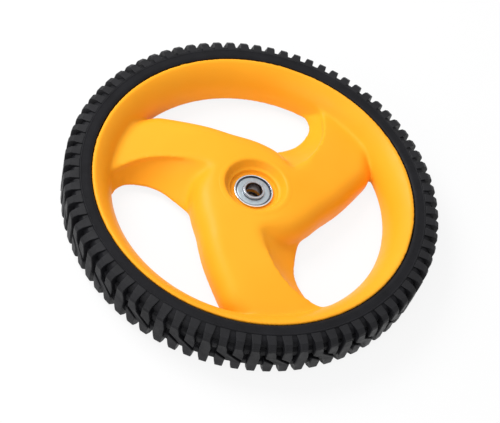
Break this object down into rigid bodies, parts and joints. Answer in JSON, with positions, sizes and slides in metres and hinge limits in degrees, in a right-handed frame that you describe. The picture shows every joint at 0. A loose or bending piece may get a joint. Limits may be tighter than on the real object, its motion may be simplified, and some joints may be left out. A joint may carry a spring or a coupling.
{
  "type": "lawn mower wheel",
  "caption": "Lawn mower wheel: dished moulded rim with swirled spokes, lugged rubber tyre and flanged ball bearings for a plain axle.",
  "frame": {"origin": "the wheel's centre, on the axle's axis half way across the tyre's width", "axes": "+Z along the axle, out of the dished front that the picture shows; the wheel lies on its back; +X to the picture's right, -Y towards its viewer"},
  "size_m": [0.3556, 0.3556, 0.0444],
  "materials": {
    "rim_plastic": "smooth moulded, satin",
    "tyre_rubber": "moulded rubber, matt",
    "ring_steel": "zinc plated, bright",
    "shield_steel": "plated, satin",
    "cage_steel": "pressed steel",
    "ball_steel": "polished"
  },
  "bodies": {
    "wheel": {"wheel_rim": "rim_plastic", "tyre": "tyre_rubber", "front_outer_ring": "ring_steel", "front_outer_shield": "shield_steel", "front_inner_shield": "shield_steel", "back_outer_ring": "ring_steel", "back_outer_shield": "shield_steel", "back_inner_shield": "shield_steel"},
    "front_inner": {"front_inner_ring": "ring_steel"},
    "front_cage": {"front_cage": "cage_steel", "front_ball_1": "ball_steel", "front_ball_2": "ball_steel", "front_ball_3": "ball_steel", "front_ball_4": "ball_steel", "front_ball_5": "ball_steel", "front_ball_6": "ball_steel", "front_ball_7": "ball_steel", "front_ball_8": "ball_steel", "front_ball_9": "ball_steel"},
    "back_inner": {"back_inner_ring": "ring_steel"},
    "back_cage": {"back_cage": "cage_steel", "back_ball_1": "ball_steel", "back_ball_2": "ball_steel", "back_ball_3": "ball_steel", "back_ball_4": "ball_steel", "back_ball_5": "ball_steel", "back_ball_6": "ball_steel", "back_ball_7": "ball_steel", "back_ball_8": "ball_steel", "back_ball_9": "ball_steel"}
  },
  "joints": [
    {"name": "front_inner_spin", "type": "hinge", "parent": "wheel", "child": "front_inner", "pos_m": [0, 0, 0.00054], "axis": [0, 0, 1], "continuous": true},
    {"name": "front_cage_spin", "type": "hinge", "parent": "wheel", "child": "front_cage", "pos_m": [0, 0, 0.00054], "axis": [0, 0, 1], "continuous": true},
    {"name": "back_inner_spin", "type": "hinge", "parent": "wheel", "child": "back_inner", "pos_m": [0, 0, -0.01444], "axis": [0, 0, 1], "continuous": true},
    {"name": "back_cage_spin", "type": "hinge", "parent": "wheel", "child": "back_cage", "pos_m": [0, 0, -0.01444], "axis": [0, 0, 1], "continuous": true}
  ],
  "couplings": [
    {"joint": "front_cage_spin", "follows": "front_inner_spin", "ratio": 0.39315},
    {"joint": "back_cage_spin", "follows": "back_inner_spin", "ratio": 0.39315}
  ]
}
